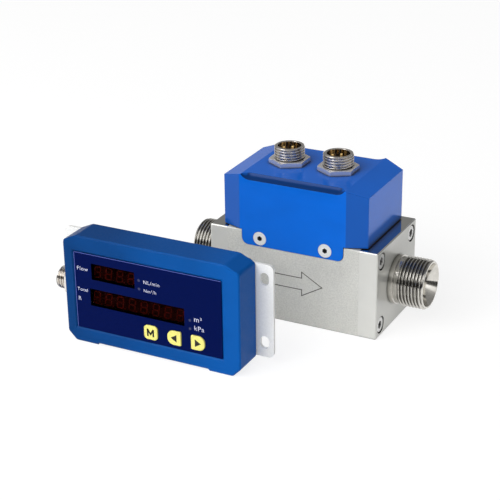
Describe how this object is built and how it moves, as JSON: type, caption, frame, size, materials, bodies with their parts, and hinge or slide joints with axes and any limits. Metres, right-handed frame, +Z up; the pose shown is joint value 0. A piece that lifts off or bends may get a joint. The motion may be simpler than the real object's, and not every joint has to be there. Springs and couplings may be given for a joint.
{
  "type": "ultrasonic gas flow meter",
  "caption": "Flow body with threaded ports, faceted blue cover and panel connectors, beside its own wall-mount display unit with digit windows and keys.",
  "frame": {"origin": "middle of the flow block's flat underside", "axes": "+X along the gas flow towards the outlet port, +Z up along the cover's connectors, the front looks along -Y"},
  "size_m": [0.1722, 0.1197, 0.0883],
  "materials": {
    "block": "bead blasted, matt",
    "plate": "fine milled, satin",
    "port": "turned, polished",
    "cover": "milled and anodised blue, glossy",
    "fastener": "bright",
    "seal": "matt",
    "sensor": "turned",
    "circuit": "circuit board",
    "chip": "moulded",
    "connector": "nickel plated",
    "insert": "moulded",
    "contact": "gold plated",
    "housing": "satin paint",
    "panel": "printed sheet",
    "window": "dark red filter",
    "digits": "moulded",
    "key": "yellow, satin",
    "lamp": "clear",
    "bracket": "bright sheet"
  },
  "bodies": {
    "meter": {"board_screws": "fastener", "board_standoffs": "fastener", "board_terminals": "chip", "bracket_plate": "bracket", "bracket_screws": "fastener", "connector_left_insert": "insert", "connector_left_nut": "connector", "connector_left_pins": "contact", "connector_left_shell": "connector", "connector_right_insert": "insert", "connector_right_nut": "connector", "connector_right_pins": "contact", "connector_right_shell": "connector", "cover": "cover", "cover_gasket": "seal", "cover_screws": "fastener", "digits_flow": "digits", "digits_total": "digits", "display_board": "circuit", "display_board_screws": "fastener", "display_housing": "housing", "display_panel": "panel", "flow_block": "block", "key_switches": "chip", "plate_inlet": "plate", "plate_outlet": "plate", "plate_screws_inlet": "fastener", "plate_screws_outlet": "fastener", "plate_seal_inlet": "seal", "plate_seal_outlet": "seal", "port_inlet": "port", "port_outlet": "port", "pressure_sensor": "sensor", "rear_gasket": "seal", "retainer_inlet": "sensor", "retainer_outlet": "sensor", "side_connector_insert": "insert", "side_connector_nut": "connector", "side_connector_pins": "contact", "side_connector_shell": "connector", "signal_board": "circuit", "signal_processor": "chip", "temperature_probe": "sensor", "transducer_inlet": "sensor", "transducer_outlet": "sensor", "transducer_seal_inlet": "seal", "transducer_seal_outlet": "seal", "unit_lamps": "lamp", "window_flow": "window", "window_total": "window"},
    "key_mode": {"key_mode": "key"},
    "key_left": {"key_left": "key"},
    "key_right": {"key_right": "key"}
  },
  "joints": [
    {"name": "key_mode_press", "type": "slide", "parent": "meter", "child": "key_mode", "axis": [0, 1, 0], "range_m": [0, 0.0006], "stiffness_N_per_m": 1500, "springref_m": -0.0005},
    {"name": "key_left_press", "type": "slide", "parent": "meter", "child": "key_left", "axis": [0, 1, 0], "range_m": [0, 0.0006], "stiffness_N_per_m": 1500, "springref_m": -0.0005},
    {"name": "key_right_press", "type": "slide", "parent": "meter", "child": "key_right", "axis": [0, 1, 0], "range_m": [0, 0.0006], "stiffness_N_per_m": 1500, "springref_m": -0.0005}
  ]
}
